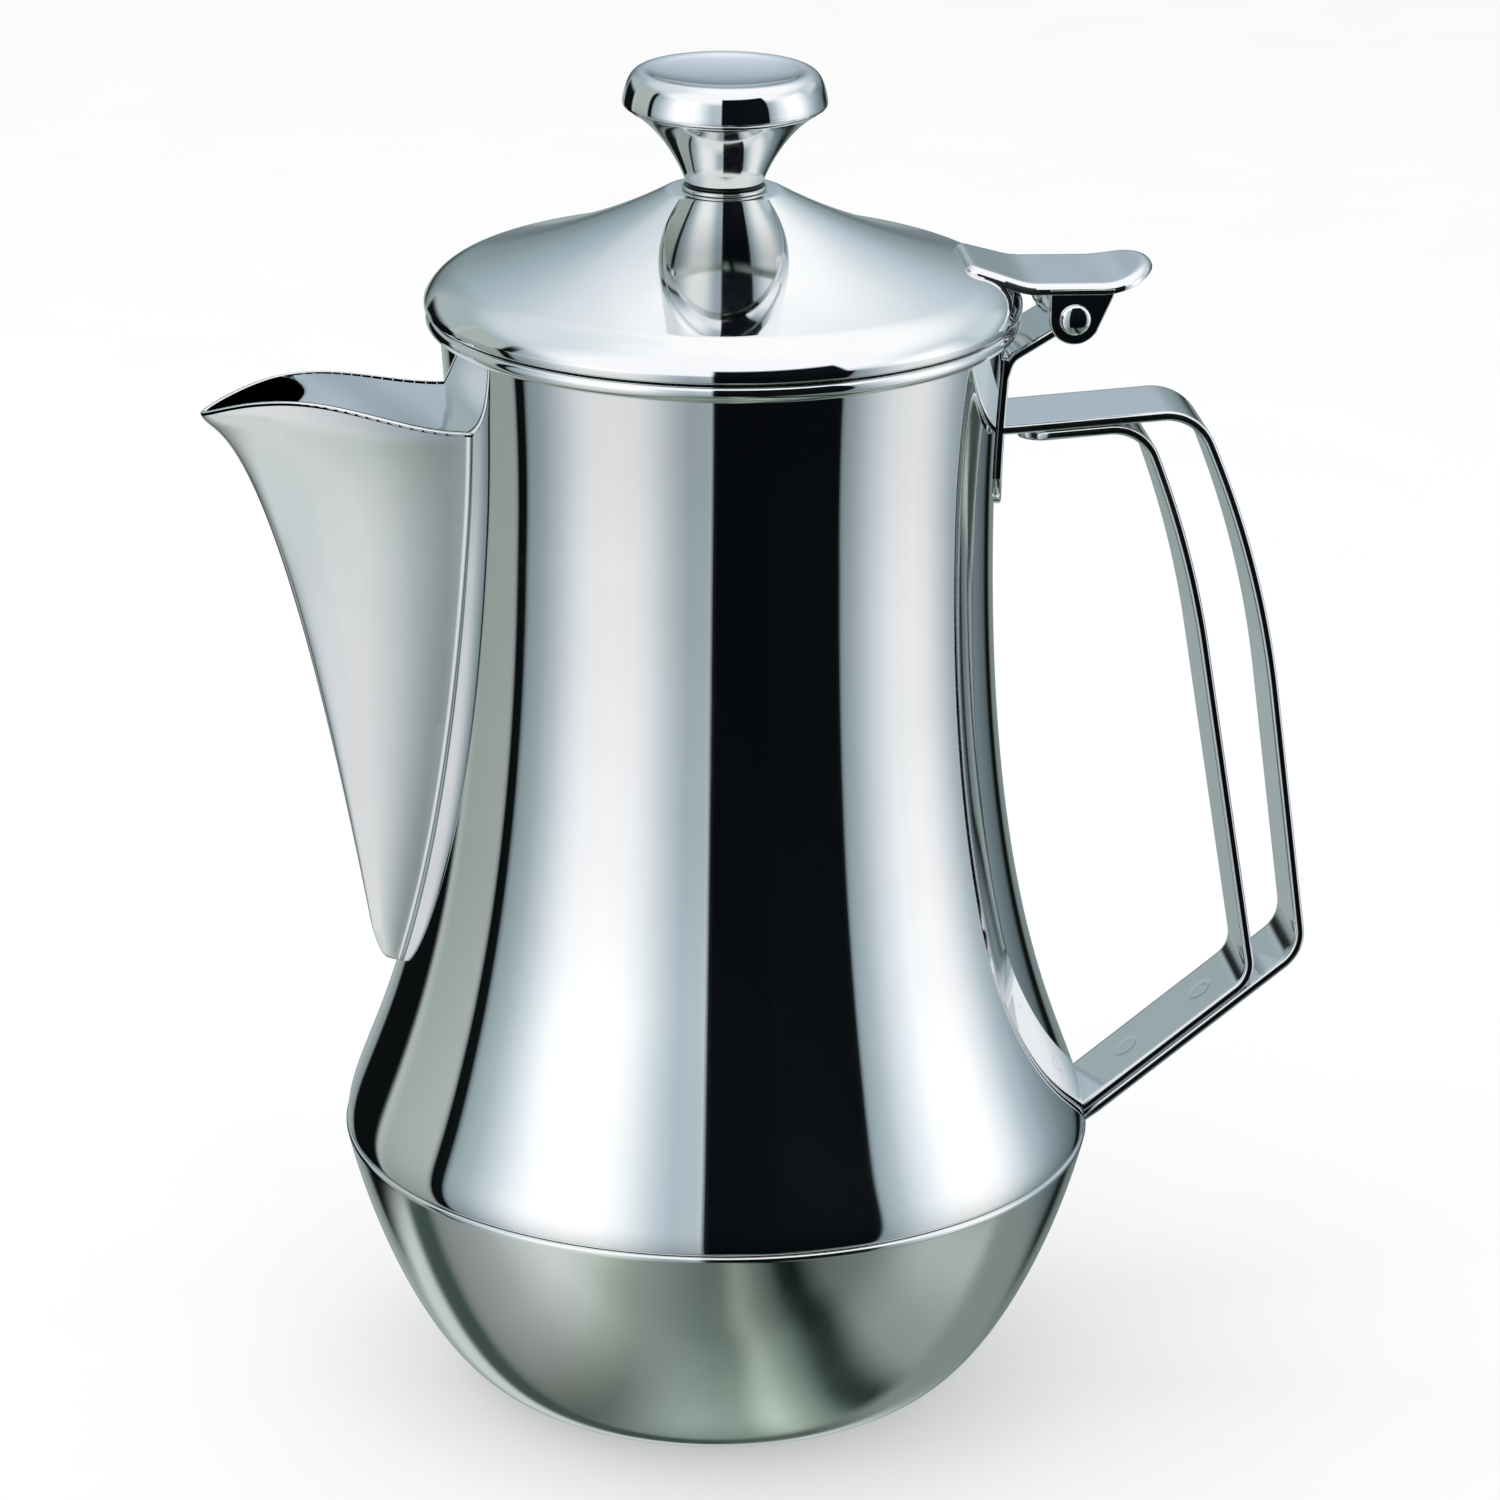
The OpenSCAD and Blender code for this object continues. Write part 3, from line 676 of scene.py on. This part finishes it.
def handle_inner():
    path = rounded_path(INNER_CORNERS, INNER_RADII, 24)
    d = unit(path[1] - path[0])
    # closer points along the rounded corners of the free end, and over the spot welds
    near = [path[0] + d * q for q in (0.0, 0.15, 0.35, 0.6, 0.9, 1.3, 1.8, 2.4, 3.1, START_ROUND)]
    path = np.vstack([near, resample(path[1:], 1.0)])
    path = path[(path[:, 0] > 53.2) | (path[:, 1] > LOWER_END_H)]
    last = stretched(path, 51.2)
    tail = resample(np.vstack([path[path[:, 1] < LOWER_END_H + 2], [last]]), 0.3)
    path = np.vstack([path[path[:, 1] >= LOWER_END_H + 2], tail])
    rings = strap(path, True, WELDS)
    fit_end(rings, -1, 0.5, body_r)
    # the free end is rounded over
    e = STRAP_EDGE
    mid = rings[0].mean(0)
    onward = unit(path[1] - path[0])
    onward = np.array([onward[0], 0, onward[1]])
    n = np.array([-onward[2], 0, onward[0]])
    off = rings[0] - mid
    h, y = off @ n, off[:, 1]
    ends = []
    for a in np.linspace(0, math.pi / 2, 6)[1:]:
        k = e * (1 - math.cos(a))
        h2 = np.sign(h) * np.maximum(np.abs(h) - k, 0)
        y2 = np.sign(y) * np.maximum(np.abs(y) - k, 0)
        ends.append(mid + h2[:, None] * n + np.stack([0 * y2, y2, 0 * y2], 1) - onward * e * math.sin(a))
    rings = np.concatenate([np.array(ends)[::-1], rings], 0)
    rings[:len(ends) + 1] += onward * e
    b = Build()
    b.grid(rings, close_v=True, caps=True)
    finish_piece(b.done("handle_inner"), "pot", "handle_inner_strap", "strap_steel", STRAP)


handle_outer()
handle_inner()

# ---------------------------------------------------------------- hinge

ALONG_Y = np.array([[1, 0, 0], [0, 0, 1], [0, -1, 0]], float).T
PIN_AXIS = ([PIN_X, 0, PIN_Z], ALONG_Y)
KNUCKLE_R, KNUCKLE_EDGE, BORE_R = 2.6, 0.35, 1.55
PIN_R, PIN_HEAD_R, PIN_HEAD_H = 1.5, 2.1, 0.9
BRACKET_HALF, BRACKET_FOOT, BRACKET_TOP, ARM_T = 7.0, 127.6, 149.6, 1.2
THUMB_HALF, THUMB_T, THUMB_TIP_X = 9.0, 1.4, 58.2
THUMB_ROOT_X, THUMB_ROOT_HALF, THUMB_ROOT_LENGTH = 32.4, 7.3, 9.0
EAR_R = 3.5


def path_place(path):
    """Places a plate whose long way follows an XZ path and whose short way is y."""
    along = lengths(path)
    t = slopes(path[:, None, :], 0, False)[:, 0]
    n = unit(np.stack([-t[:, 1], t[:, 0]], 1))

    def place(a, b, h):
        x, z = np.interp(a, along, path[:, 0]), np.interp(a, along, path[:, 1])
        nx, nz = np.interp(a, along, n[:, 0]), np.interp(a, along, n[:, 1])
        return np.array([x + nx * h, b, z + nz * h])
    return place, along[-1]


def dense_loop(loop, step=0.5):
    """A closed outline with no segment longer than step."""
    return resample(np.vstack([loop, loop[:1]]), step)[:-1]


def hinge_bracket():
    b = Build()
    half, sunk = BRACKET_HALF, 0.15  # the plate's underside goes this far into the neck

    def on_neck(y, z, h):
        r = float(neck_r(z)) - sunk + h
        return np.array([math.sqrt(r * r - y * y), y, z])

    outline = rounded_loop([[-half, BRACKET_FOOT], [half, BRACKET_FOOT],
                            [half, BRACKET_TOP], [-half, BRACKET_TOP]], [6, 6, 0.5, 0.5])
    b.slab(dense_loop(outline), BRACKET_T + sunk, 0.3, on_neck)
    elbow = np.array([float(neck_r(BEAD_Z - 6)) + BRACKET_T, BEAD_Z - 5.5])
    arm = rounded_path([elbow - [0.9, 3], elbow, [PIN_X, PIN_Z - KNUCKLE_R + 1]], [2], 12)
    place, length = path_place(resample(arm, 0.4))
    outline = rounded_loop([[0, -half], [length, -half], [length, half], [0, half]], [0.3] * 4)
    b.slab(dense_loop(outline), ARM_T, 0.35, place)
    edge_r, edge_h = KNUCKLE_R - KNUCKLE_EDGE, half - KNUCKLE_EDGE
    tube = np.vstack([arc([edge_r, edge_h], KNUCKLE_EDGE, 0, 90, 5), [[BORE_R, half], [BORE_R, -half]],
                      arc([edge_r, -edge_h], KNUCKLE_EDGE, -90, 0, 5)])
    b.lathe(dense_loop(tube, 1.5), 96, PIN_AXIS)
    finish_piece(b.done("hinge_bracket_plate"), "pot", "hinge_bracket", "hinge_steel", HINGE)


def hinge_pin():
    half, rim = THUMB_HALF, 0.2  # the head's dome starts above a low rim
    dome = np.array([[PIN_HEAD_R * math.cos(a), half + rim + (PIN_HEAD_H - rim) * math.sin(a)]
                     for a in np.linspace(0, math.pi / 2, 14)])
    dome[-1, 0] = 0
    side = np.vstack([[[PIN_R, half], [PIN_HEAD_R - 0.15, half], [PIN_HEAD_R, half + 0.12]], dome])
    profile = resample(np.vstack([side, (side * [1, -1])[::-1]]), 2.5)
    b = Build()
    b.lathe(profile[::-1], 64, PIN_AXIS)
    finish_piece(b.done("hinge_pin_riveted"), "lid", "hinge_pin", "hinge_steel", HINGE)


def thumb_plate():
    """The plate is bent from one sheet, with an ear at each side for the pin."""
    b = Build()
    top = PIN_Z + EAR_R + THUMB_T
    path = rounded_path([[THUMB_ROOT_X, top + 2.5], [40.5, top], [52.5, top - 0.1],
                         [THUMB_TIP_X, top + 1.9]], [10, 12], 24)
    place, length = path_place(resample(path, 0.4))
    half, tip_r = THUMB_HALF, 7.2
    tip = [[length - tip_r + tip_r * math.cos(a), half * math.sin(a)]
           for a in np.linspace(-math.pi / 2, math.pi / 2, 49)]
    wide, narrow = [THUMB_ROOT_LENGTH, half], [0, THUMB_ROOT_HALF]
    wide_far, narrow_far = [THUMB_ROOT_LENGTH, -half], [0, -THUMB_ROOT_HALF]
    outline = np.vstack([tip, [wide], corner_arc(wide, narrow, narrow_far, 2, 8),
                         corner_arc(narrow, narrow_far, wide_far, 2, 8), [wide_far]])
    b.slab(dense_loop(outline), THUMB_T, 1.25, lambda a, c, h: place(a, c, h - THUMB_T), rings=16, low_edge=0.12)
    ear_top, clear = top - 0.7, 0.05  # the ears end inside the plate, and are thinner by clear on each side
    ear = np.vstack([[[PIN_X - EAR_R, ear_top], [PIN_X - EAR_R, PIN_Z]],
                     arc([PIN_X, PIN_Z], EAR_R, 180, 330, 24)[1:],
                     [[PIN_X + 5.2, top - 1.8], [PIN_X + 5.4, ear_top]]])
    for y in (-half + THUMB_T, half):
        b.slab(dense_loop(ear), THUMB_T - 2 * clear, 0.25, lambda a, c, h, y=y: np.array([a, y - clear - h, c]))
    plate = b.done("thumb_plate_bent")
    # painted shade where the plate's root stands on the lid, whose slope there is about -0.22: those faces get
    # the near-black steel
    for face in plate.data.polygons:
        r, z = math.hypot(face.center.x, face.center.y) / MM, face.center.z / MM
        on_lid = face.center.x / MM < 42 and z < 161.9 - 0.22 * (r - 32.5)
        if on_lid and abs(face.normal.z) < 0.6:
            face.material_index = 1
    finish_piece(plate, "lid", "thumb_plate", "hinge_steel", HINGE, PAINTED_SHADE_STEEL)


hinge_bracket()
hinge_pin()
thumb_plate()

# ---------------------------------------------------------------- lid and knob


SCREW_HOLE_R = 2.2
COLLAR_R, COLLAR_LOW, COLLAR_HIGH, COLLAR_EDGE = 36.6, 148.2, 158.6, 0.35
KNOB_GROOVE = (LID_TOP + 0.53, LID_TOP + 1.08)  # the heights of the groove over the knob's foot, whose faces get painted shade
GROOVE_LEAST_R = 4.5
STEM_TOP, KNOB_TOP = 183.3, 188.5


def lid_shell():
    edge_top = LID_LOW + LID_EDGE_H
    near_plateau, shoulder = [8.3, LID_TOP - 0.23], [LID_R - 5.1, LID_TOP - 11.06]
    outer = np.vstack([
        curve([[7.4, LID_TOP], [7.7, LID_TOP], [8.0, LID_TOP - 0.06], near_plateau], 7),
        curve([near_plateau, [14.4, LID_TOP - 3.7], [23.3, LID_TOP - 7.7], shoulder], 110)[1:],
        curve([shoulder, [LID_R - 2.6, LID_TOP - 11.76], [LID_R - 0.9, edge_top + 2.0],
               [LID_R, edge_top]], 60)[1:]])
    turn = corner_arc(outer[-4], [LID_R, edge_top], [LID_R, LID_LOW], 0.35, 8)
    outer = outer[outer[:, 0] < turn[0, 0] - 0.02]
    bore = LID_R - LID_SHEET
    foot = corner_arc([LID_R, LID_LOW + 1], [LID_R, LID_LOW], [bore, LID_LOW], 0.3, 6)
    foot_in = corner_arc([LID_R, LID_LOW], [bore, LID_LOW], [bore, LID_LOW + 1], 0.3, 6)
    inner = offset(outer[::-1], -LID_SHEET)
    inner = inner[inner[:, 0] < bore - 0.1]
    profile = np.vstack([[[SCREW_HOLE_R, LID_TOP], [4.0, LID_TOP]], outer, turn, foot, foot_in,
                         [[bore - 0.05, LID_LOW + 0.4]], inner, [[SCREW_HOLE_R, LID_TOP - LID_SHEET]]])
    b = Build()
    b.lathe(profile, 288)
    finish_piece(b.done("lid"), "lid", "lid_shell", "mirror_steel", LID_STEEL)


def lid_collar():
    e, bore, low = COLLAR_EDGE, COLLAR_R - LID_SHEET, COLLAR_LOW + COLLAR_EDGE
    profile = np.vstack([arc([COLLAR_R - e, low], e, -90, 0, 5),
                         [[COLLAR_R, COLLAR_HIGH], [bore, COLLAR_HIGH]],
                         arc([bore + e, low], e, 180, 270, 5)])
    b = Build()
    b.lathe(dense_loop(profile, 1.5), 256)
    finish_piece(b.done("lid_collar_ring"), "lid", "lid_collar", "inner_steel", INNER)


def knob_stem():
    low = LID_TOP + 0.05
    stem = curve([[5.25, LID_TOP + 1.1], [6.3, 176.2], [9, 181], [13, STEM_TOP]], 50)
    bead = arc([5.5, LID_TOP + 0.28], 0.23, -90, 80, 12)
    groove = curve([[5.5, LID_TOP + 0.54], [4.8, LID_TOP + 0.56], [4.8, LID_TOP + 1.0], stem[0]], 14)
    profile = np.vstack([[[0, low], [3, low]], bead, groove, stem[1:], [[12.5, STEM_TOP], [0, STEM_TOP]]])
    b = Build()
    b.lathe(profile, 192)
    cone = b.done("knob_foot_cone")
    # faces in the groove get the near-black steel: painted shade in the recess
    for face in cone.data.polygons:
        outside = math.hypot(face.center.x, face.center.y) / MM > GROOVE_LEAST_R
        if outside and KNOB_GROOVE[0] < face.center.z / MM < KNOB_GROOVE[1]:
            face.material_index = 1
    finish_piece(cone, "lid", "knob_stem", "mirror_steel", KNOB_STEEL, PAINTED_SHADE_STEEL)


def knob_disc():
    under = curve([[11.5, STEM_TOP], [12.8, 183.35], [13.5, 183.5], [13.8, 183.95]], 10)
    edge = arc([13.5, 184.2], 0.35, -30, 15, 5)
    shoulder = curve([[13.85, 184.5], [13.5, 186.4], [13.0, 188.2], [11.6, KNOB_TOP]], 40)
    crest = curve([[11.6, KNOB_TOP], [10.9, 188.63], [10.4, 188.4], [9.6, 188.2]], 14)[1:]
    dish = curve([[9.6, 188.2], [6.4, 187.45], [3, 187.3], [0, 187.3]], 24)[1:]
    b = Build()
    b.lathe(np.vstack([[[0, STEM_TOP]], under, edge, shoulder, crest, dish]), 192)
    finish_piece(b.done("knob_disc"), "lid", "knob_top", "mirror_steel", MIRROR)


lid_shell()
lid_collar()
knob_stem()
knob_disc()

# the screw and washer keep the frame's own meshes
for node in ("knob_screw", "knob_washer"):
    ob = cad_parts[node]
    ob.data.materials.clear()
    ob.data.materials.append(INNER)

# ---------------------------------------------------------------- studio


def at(degrees):
    """A turn about the vertical, in degrees from the way the camera is, as a place on a ramp."""
    return degrees / 360 + 0.5


def lift(degrees):
    """An elevation as a place on a ramp over z / 2 + 0.5."""
    return sine(degrees) / 2 + 0.5


def spot(u):
    """A place on the table, from -2 to 2, as a place on a ramp."""
    return u / 4 + 0.5


def sine(degrees):
    return math.sin(math.radians(degrees))


def walls_round(net, turn, z):
    """The studio's walls, as the neck mirrors them: one ramp from -180 degrees to 20, one from there on."""
    left = net.ramp(turn, [(at(a), c) for a, c in [
        (-180, (150, 166, 164)), (-165, (178, 190, 192)), (-153, (140, 152, 150)), (-151, (14, 18, 18)),
        (-127, (12, 16, 16)), (-124.5, (178, 187, 184)), (-119, (158, 170, 166)), (-96, (163, 172, 168)),
        (-94.5, (10, 14, 14)), (-90, (14, 20, 22)), (-88, (140, 156, 160)), (-80, (160, 176, 182)),
        (-72, (195, 206, 211)), (-64, (230, 236, 240)), (-57, (250, 252, 254)), (-45, (255, 255, 255)),
        (-35, (250, 251, 253)), (-28, (230, 236, 238)), (-20, (194, 204, 211)), (-13, (168, 181, 190)),
        (-4.6, (172, 184, 190)), (-3.6, (186, 196, 200)), (-2.8, (10, 13, 16))]])
    right = net.ramp(turn, [(at(a), c) for a, c in [
        (50.6, (12, 15, 18)), (52.2, (140, 156, 162)), (58, (168, 180, 188)), (66, (210, 219, 225)),
        (76, (246, 249, 251)), (88, (255, 255, 255)), (96, (246, 247, 249)), (104, (216, 224, 229)),
        (112, (178, 192, 200)), (122, (146, 162, 170)), (132, (120, 138, 144)), (146, (92, 106, 110)),
        (150, (16, 22, 20)), (155, (16, 22, 20)), (158, (120, 134, 132)), (180, (150, 166, 164))]])
    walls = net.mix(net.math("GREATER_THAN", turn, at(20)), left, right)
    gain = net.node("ShaderNodeMapRange", {"Value": z, "From Min": sine(-24), "From Max": sine(4),
                                           "To Min": 0.72, "To Max": 1.1}).outputs[0]
    walls = net.mix(1.0, walls, net.grey(gain), "MULTIPLY")
    far_left = net.math("MULTIPLY", net.step(turn, at(-121), at(-125)), net.step(z, 0.05, 0.18))
    walls = net.mix(far_left, walls, tuple(srgb(164, 177, 180)))
    far_right = net.math("MULTIPLY", net.step(turn, at(108), at(120)), net.step(z, 0.1, 0.3))
    return net.mix(far_right, walls, tuple(srgb(200, 211, 218)))


def overhead(net, side, front, z):
    """What is over and behind the pot, as the lid mirrors it: ramps by elevation for left, middle and right."""
    height = net.math("MULTIPLY_ADD", z, 0.5, 0.5)
    left = net.ramp(height, [(lift(a), c) for a, c in [
        (-20, (20, 26, 26)), (-5, (20, 26, 26)), (0, (92, 104, 104)), (3, (112, 126, 128)),
        (9, (120, 138, 143)), (15, (134, 152, 158)), (21, (142, 161, 168)), (27, (156, 174, 182)),
        (33, (178, 192, 200)), (39, (200, 209, 216)), (45, (208, 216, 222)), (51, (210, 219, 225)),
        (57, (214, 223, 228)), (64, (224, 231, 235)), (72, (240, 244, 247)), (80, (250, 251, 253))]])
    right = net.ramp(height, [(lift(a), c) for a, c in [
        (-20, (20, 26, 26)), (-5, (22, 28, 28)), (0, (96, 108, 110)), (3, (124, 139, 141)),
        (9, (137, 153, 157)), (15, (154, 170, 176)), (21, (175, 190, 198)), (27, (194, 206, 216)),
        (33, (211, 221, 226)), (39, (232, 237, 240)), (45, (248, 250, 252)), (51, (252, 253, 254)),
        (70, (253, 254, 255))]])
    middle = net.ramp(height, [(lift(a), c) for a, c in [
        (-6, (120, 132, 136)), (3, (112, 124, 130)), (9, (140, 153, 160)), (15, (166, 179, 190)),
        (21, (178, 191, 203)), (27, (188, 201, 213)), (33, (198, 210, 221)), (39, (218, 226, 233)),
        (45, (243, 246, 249)), (51, (252, 253, 254)), (70, (253, 254, 255))]])
    over = net.mix(net.step(side, -0.4, 0.05), left, right)
    over = net.mix(net.step(net.math("ABSOLUTE", side), 0.17, 0.07), over, middle)
    return net.mix(net.step(front, -0.1, 0.35), over, tuple(srgb(250, 251, 253)))


def table_below(net, side, front, z):
    """The table, as the bowl mirrors it: a ramp across it, with levels that depend on how far ahead it is."""
    below = net.math("MAXIMUM", net.math("MULTIPLY", z, -1.0), 0.05)
    across = net.math("DIVIDE", side, below)
    ahead = net.math("DIVIDE", front, below)
    bent = net.math("SUBTRACT", across, net.step(ahead, 0.58, 0.34, 0.0, 0.06))
    table = net.ramp(net.math("MULTIPLY_ADD", bent, 0.25, 0.5), [(spot(u), c) for u, c in [
        (-1.2, (198, 207, 207)), (-0.8, (205, 211, 207)), (-0.62, (186, 194, 189)), (-0.5, (158, 169, 160)),
        (-0.38, (134, 146, 139)), (-0.2, (119, 132, 126)), (-0.05, (104, 118, 112)), (0.03, (104, 118, 110)),
        (0.12, (146, 158, 149)), (0.2, (112, 126, 118)), (0.28, (80, 95, 90)), (0.33, (30, 42, 40)),
        (0.42, (22, 33, 31)), (0.48, (88, 101, 97)), (0.55, (122, 133, 129)), (0.7, (128, 139, 135)),
        (0.9, (152, 163, 159)), (1.05, (152, 163, 159)), (1.25, (110, 122, 118)), (1.8, (104, 116, 112))]])
    behind = net.ramp(net.math("MULTIPLY_ADD", ahead, 0.25, 0.5), [(spot(u), c) for u, c in [
        (-1.6, (150, 162, 158)), (-1.1, (196, 206, 202)), (-0.9, (190, 200, 196)), (-0.78, (64, 78, 72)),
        (-0.55, (60, 74, 68)), (-0.42, (116, 128, 122))]])
    middle = net.levels(ahead, [(-0.4, 1.45), (-0.1, 1.9), (0.05, 1.75), (0.25, 1.4), (0.45, 1.0),
                                (0.7, 0.85), (1.2, 0.8)])
    left = net.levels(ahead, [(-0.55, 0.3), (-0.3, 0.42), (-0.1, 0.5), (0.05, 0.6), (0.25, 0.84), (0.4, 1.0)])
    right = net.levels(ahead, [(-0.4, 1.25), (0.1, 1.25), (0.3, 1.05), (0.45, 0.7), (0.7, 0.55)])
    level = net.mixed(net.step(across, -0.35, -0.02), left, middle)
    level = net.mixed(net.step(across, 0.28, 0.42), level, right)
    table = net.mix(1.0, table, net.grey(level), "MULTIPLY")
    behind = net.mix(net.step(across, 0.1, 0.45), behind, tuple(srgb(124, 136, 132)))
    return net.mix(net.step(ahead, -0.55, -0.4), behind, table)


def studio():
    """Mirrors see the studio's walls, ceiling and table; everything else is lit by plain white."""
    world = bpy.data.worlds.new("studio")
    bpy.context.scene.world = world
    world.use_nodes = True
    net = Net(world.node_tree)
    way = net.node("ShaderNodeSeparateXYZ", {0: net.node("ShaderNodeTexCoord").outputs["Generated"]}).outputs
    x, y, z = way[0], way[1], way[2]
    # side and front are along the horizontal axes of the photo, turned a little from the pot's own
    side = net.math("ADD", net.math("MULTIPLY", x, 0.994), net.math("MULTIPLY", y, -0.11))
    front = net.math("ADD", net.math("MULTIPLY", x, -0.11), net.math("MULTIPLY", y, -0.994))
    turn = net.math("ADD", net.math("DIVIDE", net.math("ARCTAN2", side, front), 2 * math.pi), 0.5)

    back = net.math("MAXIMUM", net.step(turn, at(138), at(150)), net.step(turn, at(-150), at(-162)))
    opening = net.math("MULTIPLY", net.step(turn, at(-5), at(-3)), net.step(turn, at(53), at(51)))
    front_top = net.math("MAXIMUM", net.step(z, sine(43), sine(47)),
                         net.math("MULTIPLY", net.math("SUBTRACT", 1.0, opening),
                                  net.step(z, sine(24), sine(36))))
    back_top = net.math("MULTIPLY", back, net.step(z, sine(-9), sine(-5)))
    colour = net.mix(net.math("MAXIMUM", front_top, back_top), walls_round(net, turn, z),
                     overhead(net, side, front, z))
    colour = net.mix(net.step(z, sine(-37), sine(-31)), table_below(net, side, front, z), colour)
    mirror = net.node("ShaderNodeBackground", {0: colour, 1: 1.1})
    plain = net.node("ShaderNodeBackground", {0: (0.98, 0.985, 1.0, 1), 1: 0.86})
    seen = net.node("ShaderNodeLightPath").outputs["Is Glossy Ray"]
    both = net.node("ShaderNodeMixShader", {0: seen, 1: plain.outputs[0], 2: mirror.outputs[0]})
    net.node("ShaderNodeOutputWorld", {0: both.outputs[0]})


def floor():
    me = bpy.data.meshes.new("floor")
    half = 4.0
    me.from_pydata([(-half, -half, 0), (half, -half, 0), (half, half, 0), (-half, half, 0)], [], [(0, 1, 2, 3)])
    ob = bpy.data.objects.new("floor", me)
    bpy.context.scene.collection.objects.link(ob)
    m = bpy.data.materials.new("floor_paper")
    m.use_nodes = True
    net = Net(m.node_tree)
    where = net.node("ShaderNodeTexCoord").outputs["Object"]
    colour = net.mix(net.noise(where, 30.0, 4.0), (0.53, 0.53, 0.53), (0.55, 0.55, 0.55))
    glow = net.mix(net.noise(where, 30.0, 4.0), (0.97, 0.97, 0.97), (1.0, 1.0, 1.0))
    net.node("ShaderNodeOutputMaterial", {0: net.node("ShaderNodeBsdfPrincipled", {
        "Base Color": colour, "Roughness": 0.9, "Specular IOR Level": 0.0,
        "Emission Color": glow, "Emission Strength": 0.42}).outputs[0]})
    me.materials.append(m)
    ob.visible_glossy = False


def lamp():
    data = bpy.data.lights.new("softbox", "AREA")
    data.shape, data.size, data.size_y, data.energy = "RECTANGLE", 1.6, 1.6, 10.0
    ob = bpy.data.objects.new("softbox", data)
    bpy.context.scene.collection.objects.link(ob)
    ob.location = (-0.3, -0.2, 1.5)
    ob.rotation_euler = (math.radians(-8), math.radians(-11), 0)
    ob.visible_glossy = False
    ob.visible_camera = False


def camera():
    """A camera at the photo's viewing angle, fitted to the circles of the pot."""
    place = (-0.0845, -0.8042, 0.37066)
    data = bpy.data.cameras.new("camera")
    ob = bpy.data.objects.new("camera", data)
    bpy.context.scene.collection.objects.link(ob)
    yaw, pitch, roll = (math.radians(a) for a in (6.3, 19.005, 0.602))
    cp, sp, c, s, cr, sr = (f(a) for a in (yaw, pitch, roll) for f in (math.cos, math.sin))
    right, up = np.array([cp, -sp, 0]), np.array([sp * s, cp * s, c])
    ahead = np.array([sp * c, cp * c, -s])
    x, y = cr * right + sr * up, cr * up - sr * right
    m = Matrix.Identity(4)
    for i, v in enumerate((x, y, -ahead)):
        for j in range(3):
            m[j][i] = v[j]
        m[i][3] = place[i]
    ob.matrix_world = m
    data.sensor_width, data.lens = 36.0, 147.59
    data.clip_start, data.clip_end = 0.01, 50.0
    bpy.context.scene.camera = ob


studio()
floor()
lamp()
camera()
bpy.context.scene.view_settings.view_transform = "Standard"
